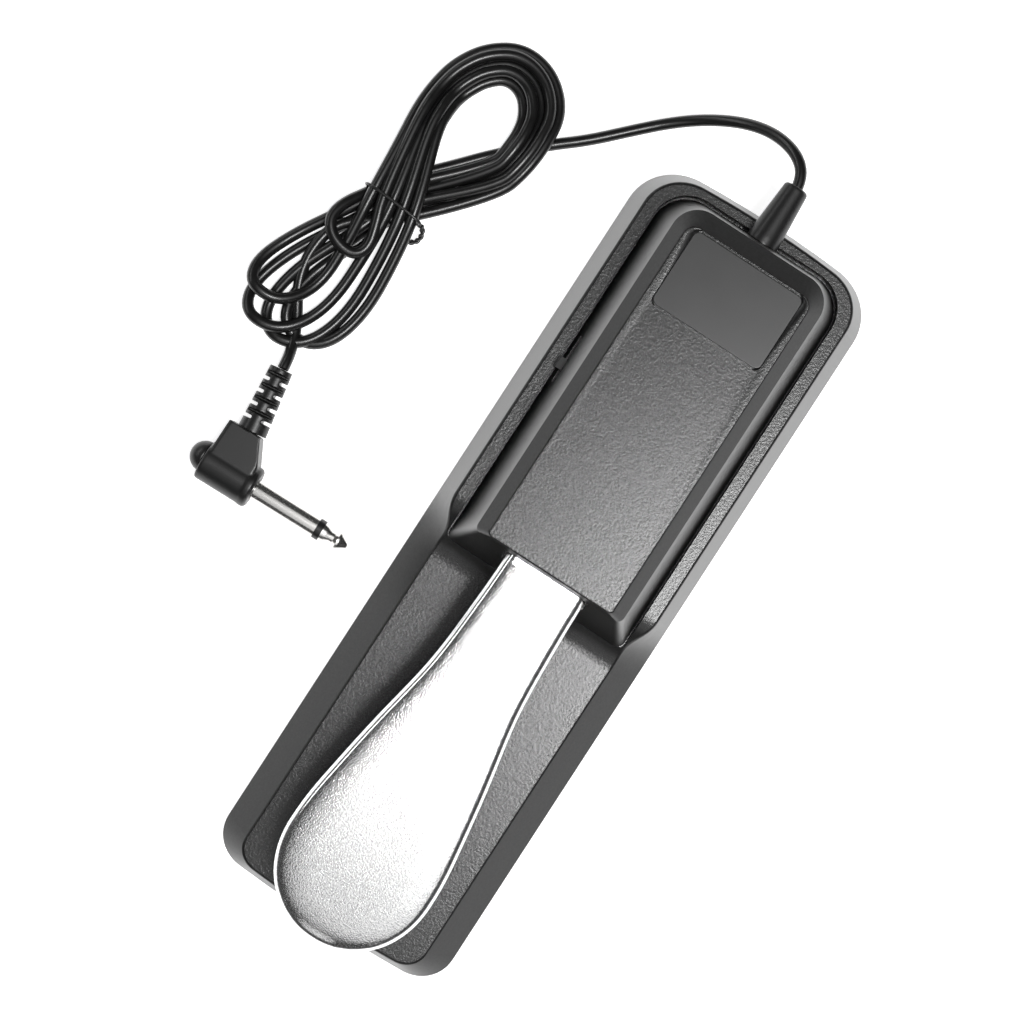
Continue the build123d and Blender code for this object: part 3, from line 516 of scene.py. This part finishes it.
def even_shading(mesh, angle):
    """Smooth shading up to this angle, in which the large faces stay flat."""
    name, mesh.name = mesh.name, "scratch"
    mesh.shade_smooth()
    mesh.set_sharp_from_angle(angle=math.radians(angle))
    scratch = add_object("scratch", mesh)
    weigh = scratch.modifiers.new("weigh", "WEIGHTED_NORMAL")
    weigh.weight = 100
    weigh.keep_sharp = True
    return after_modifiers(scratch, name)


def softened(name, node, voxel, rounds):
    """A soft moulding: the node's own shape with every edge rounded over."""
    scratch = add_object("scratch", nodes[node].data.copy())
    remesh = scratch.modifiers.new("remesh", "REMESH")
    remesh.mode = "VOXEL"
    remesh.voxel_size = voxel
    smooth = scratch.modifiers.new("smooth", "SMOOTH")
    smooth.iterations = rounds
    mesh = after_modifiers(scratch, name)
    mesh.shade_smooth()
    return add_piece(name, mesh, node)


def rounded_housing():
    """The housing with a small radius on the edges of its top and shoulder."""
    shape = bmesh.new()
    shape.from_mesh(nodes["top_housing"].data)
    bmesh.ops.remove_doubles(shape, verts=shape.verts, dist=HOUSING_WELD)
    bmesh.ops.dissolve_limit(shape, angle_limit=math.radians(0.5),
                             verts=shape.verts, edges=shape.edges)
    edges = [e for e in shape.edges if is_outer_edge(e)]
    bmesh.ops.bevel(shape, geom=edges, offset=HOUSING_EDGE, segments=3, profile=0.5,
                    affect="EDGES", clamp_overlap=True)
    bmesh.ops.triangulate(shape, faces=shape.faces)
    mesh = even_shading(mesh_from(shape, "housing"), HOUSING_SHARP)
    return add_piece("housing", mesh, "top_housing")


def is_outer_edge(edge):
    """True for the top's and the shoulder's outlines, not the badge recess or the inside."""
    if len(edge.link_faces) != 2 or edge.calc_face_angle() < math.radians(OUTER_EDGE_TURN):
        return False
    heights = [v.co.z for v in edge.verts]
    level = any(all(abs(z - edge_z) < OUTER_EDGE_SLACK for z in heights)
                for edge_z in (HOUSING_TOP_Z, SHOULDER_Z))
    return level and all(abs(v.co.x) > OUTER_HALF_WIDTH or v.co.y < OUTER_FRONT_Y
                         or v.co.y > OUTER_REAR_Y for v in edge.verts)


def rounded_rectangle(half_width, half_length, radius, steps=6):
    """Corner-rounded outline round the origin, anticlockwise."""
    outline = []
    for quarter, (sx, sy) in enumerate(((1, 1), (-1, 1), (-1, -1), (1, -1))):
        centre = Vector((sx * (half_width - radius), sy * (half_length - radius)))
        for step in range(steps + 1):
            outline.append(centre + direction(90 * (quarter + step / steps)) * radius)
    return outline


def make_badge():
    """Blank plate in its recess, with a softened upper edge."""
    low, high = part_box("blank_badge")
    centre = (low + high).xy / 2
    half_width = (high.x - low.x) / 2
    half_length = (high.y - low.y) / 2 - BADGE_END_GAP
    rings = []
    for inset, height in ((0, low.z), (0, high.z - BADGE_EDGE),
                          (BADGE_EDGE_MIDDLE, high.z - BADGE_EDGE_MIDDLE), (BADGE_EDGE, high.z)):
        outline = rounded_rectangle(half_width - inset, half_length - inset, BADGE_CORNER - inset)
        rings.append([(*(centre + p), height) for p in outline])
    shape = bmesh.new()
    rows = [[shape.verts.new(p) for p in ring] for ring in rings]
    count = len(rows[0])
    for lower, upper in zip(rows, rows[1:]):
        for i in range(count):
            j = (i + 1) % count
            shape.faces.new((lower[i], lower[j], upper[j], upper[i]))
    shape.faces.new(rows[-1])
    shape.faces.new(rows[0][::-1])
    return add_piece("badge", even_shading(mesh_from(shape, "badge"), BADGE_SHARP), "blank_badge")


def make_spring():
    """Close-ended coil under the lever."""
    low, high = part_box("return_spring")
    centre = (low + high).xy / 2
    bottom, top = low.z + SPRING_WIRE / 2, high.z - SPRING_WIRE / 2
    radius = (high.x - low.x - SPRING_WIRE) / 2
    steps = SPRING_TURNS * SPRING_TURN_STEPS
    curve = bpy.data.curves.new("spring_line", "CURVE")
    curve.dimensions = "3D"
    curve.bevel_depth = SPRING_WIRE / 2
    curve.bevel_resolution = 4
    curve.use_fill_caps = True
    spline = curve.splines.new("POLY")
    spline.points.add(steps)
    for step, point in enumerate(spline.points):
        t = step / steps
        rise = t - SPRING_CLOSED_ENDS * math.sin(2 * math.pi * t)
        place = centre + direction(360 * SPRING_TURNS * t) * radius
        point.co = (*place, bottom + (top - bottom) * rise, 1)
    mesh = after_modifiers(add_object("scratch", curve), "spring")
    mesh.shade_smooth()
    spring = add_piece("spring", mesh, "return_spring")
    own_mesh(spring)
    return spring


# ---- lever -------------------------------------------------------------------------------
def lever_outline(tree):
    """Right half of the plate's outline from the neck to the tip, found on the CAD part.

    Also how much the CAD's tip must shrink at each step to fit inside it.
    """
    outline = []
    for step in range(LEVER_SIDE_STEPS + 1):
        y = LEVER_NECK_Y + (LEVER_WIDEST_Y - LEVER_NECK_Y) * step / LEVER_SIDE_STEPS
        height = lever_top(tree, y) - PROBE_DEPTH
        hit = tree.ray_cast(Vector((FAR, y, height)), Vector((-1, 0, 0)))[0]
        outline.append(Vector((hit.x, y)))
    shrink = [1.0]
    for step in range(1, LEVER_TIP_STEPS):
        out = direction(-90 * step / LEVER_TIP_STEPS)
        height = lever_top(tree, LEVER_WIDEST_Y + out.y * PROBE_REACH) - PROBE_DEPTH
        hit = tree.ray_cast(Vector((*(TIP_CENTRE + out * FAR), height)), Vector((*-out, 0)))[0]
        outline.append(TIP_CENTRE + out * tip_reach(out))
        shrink.append(min(1.0, tip_reach(out) / (hit.xy - TIP_CENTRE).length))
    return outline + [Vector((0, LEVER_TIP_Y))], shrink + [1.0]


def tip_reach(out):
    """How far the tip's even curve is from its centre in this direction."""
    across = (abs(out.x) / LEVER_TIP_HALF) ** LEVER_TIP_SQUARE
    along = (abs(out.y) / (LEVER_WIDEST_Y - LEVER_TIP_Y)) ** LEVER_TIP_SQUARE
    return (across + along) ** (-1 / LEVER_TIP_SQUARE)


def draw_in_tip(shape, shrink):
    """Brings the CAD plate's tip inside the even curve, by less than half a millimetre."""
    for vert in shape.verts:
        offset = vert.co.xy - TIP_CENTRE
        if offset.y < 0:
            step = math.degrees(math.atan2(-offset.y, abs(offset.x))) / 90 * LEVER_TIP_STEPS
            k = min(int(step), LEVER_TIP_STEPS - 1)
            factor = shrink[k] + (shrink[k + 1] - shrink[k]) * (step - k)
            vert.co.xy = TIP_CENTRE + offset * factor


def lever_top(tree, y):
    """Height of the CAD plate's top on the centre line."""
    return tree.ray_cast(Vector((0, y, FAR)), Vector((0, 0, -1)))[0].z


def lever_section():
    """Distance in from the edge and height over the flat top, from flange to middle."""
    section = [(0, -LEVER_FLANGE), (0, -LEVER_EDGE)]
    for step in range(1, LEVER_EDGE_STEPS + 1):
        angle = math.radians(LEVER_EDGE_ANGLE * step / LEVER_EDGE_STEPS)
        section.append((LEVER_EDGE * (1 - math.cos(angle)), LEVER_EDGE * (math.sin(angle) - 1)))
    edge_in, edge_up = section[-1]
    for inset in LEVER_CROWN_INSETS:
        rise = LEVER_CROWN * (1 - math.exp((edge_in - inset * MM) / LEVER_CROWN_SPAN))
        section.append((inset * MM, edge_up + rise))
    return section


def make_lever():
    """The CAD lever under a chromed skin with rolled edges and a softly crowned top."""
    shape = bmesh.new()
    shape.from_mesh(nodes["pedal_lever"].data)
    tree = BVHTree.FromBMesh(shape)
    outline, shrink = lever_outline(tree)
    draw_in_tip(shape, shrink)
    section = lever_section()
    rows = []
    for i, place in enumerate(outline):
        before, after = outline[max(i - 1, 0)], outline[min(i + 1, len(outline) - 1)]
        run = Vector((0, -1)) if i == 0 else (after - before).normalized()
        inward = Vector((run.y, -run.x)) if i < len(outline) - 1 else Vector((0, 1))
        half = []
        for inset, rise in section:
            spot = place + inward * (inset - LEVER_PLATING)
            spot.x = max(spot.x, 0)
            top = lever_top(tree, max(spot.y, LEVER_TIP_Y + PROBE_TIP_GAP))
            half.append(Vector((*spot, top + rise + LEVER_PLATING)))
        last = half[-1]
        middle = [Vector((last.x * k / LEVER_MIDDLE_STEPS, last.y, last.z))
                  for k in range(LEVER_MIDDLE_STEPS - 1, -1, -1)]
        right = half + middle
        left = [Vector((-p.x, p.y, p.z)) for p in right[-2::-1]]
        rows.append(right + left)
    made = [[shape.verts.new(p) for p in row] for row in rows]
    for near, far in zip(made, made[1:]):
        for a, b, c, d in zip(near, near[1:], far[1:], far):
            shape.faces.new((a, b, c, d))
    bmesh.ops.remove_doubles(shape, verts=[v for row in made for v in row], dist=LEVER_WELD)
    mesh = mesh_from(shape, "lever")
    mesh.shade_smooth()
    mesh.set_sharp_from_angle(angle=math.radians(LEVER_SHARP))
    return add_piece("lever", mesh, "pedal_lever", "lever")


# ---- stage -----------------------------------------------------------------------------
def make_floor():
    """White table lit from below, as in a light tent."""
    made = Shader("floor")
    cloud = made.noise(0.5, 1.0)
    made.colour(made.ramp(cloud, [(0.3, 0.9), (0.7, 0.92)]))
    made.set(Roughness=0.7, Emission_Color=(1, 1, 1, 1), Emission_Strength=FLOOR_GLOW)
    shape = bmesh.new()
    bmesh.ops.create_grid(shape, x_segments=1, y_segments=1, size=FLOOR_REACH)
    mesh = mesh_from(shape, "floor")
    mesh.materials.append(made.material)
    add_object("floor", mesh)


def soft_box(name, place, lean, size, brightness):
    """Area light leaning round Y, whose face is this bright: 1 is the white of the picture."""
    data = bpy.data.lights.new(name, "AREA")
    data.shape = "RECTANGLE"
    data.size, data.size_y = size
    data.energy = brightness * math.pi * size[0] * size[1]
    light = add_object(name, data)
    light.location = place
    light.rotation_euler = (0, math.radians(lean), 0)


def make_lights():
    world = bpy.data.worlds.new("studio")
    bpy.context.scene.world = world
    world.use_nodes = True
    background = world.node_tree.nodes["Background"]
    background.inputs["Color"].default_value = (1, 1, 1, 1)
    background.inputs["Strength"].default_value = WORLD_GLOW
    soft_box("overhead", (0.43, -0.4, 1.3), 0, (1.3, 2.2), 1.0)
    soft_box("key", (0.215, -0.015, 1.0), 0, (0.26, 0.22), 34)
    soft_box("left_strip", (-1.0, 0.15, 0.62), -58, (0.12, 1.2), 5)


# ---- build -----------------------------------------------------------------------------
make_camera()
tie = make_tie()
plug_body = softened("plug_shell", "plug_body", 0.3 * MM, 5)
plug_dome = softened("plug_cap", "plug_dome", 0.3 * MM, 3)
plug_boot = softened("plug_relief", "plug_boot", 0.22 * MM, 3)
make_cord()
softened("cord_boot", "cable_boot", 0.3 * MM, 3)
rounded_housing()
make_badge()
make_spring()
make_lever()
dress_frame()
make_floor()
make_lights()

bpy.context.scene.view_settings.view_transform = "Standard"
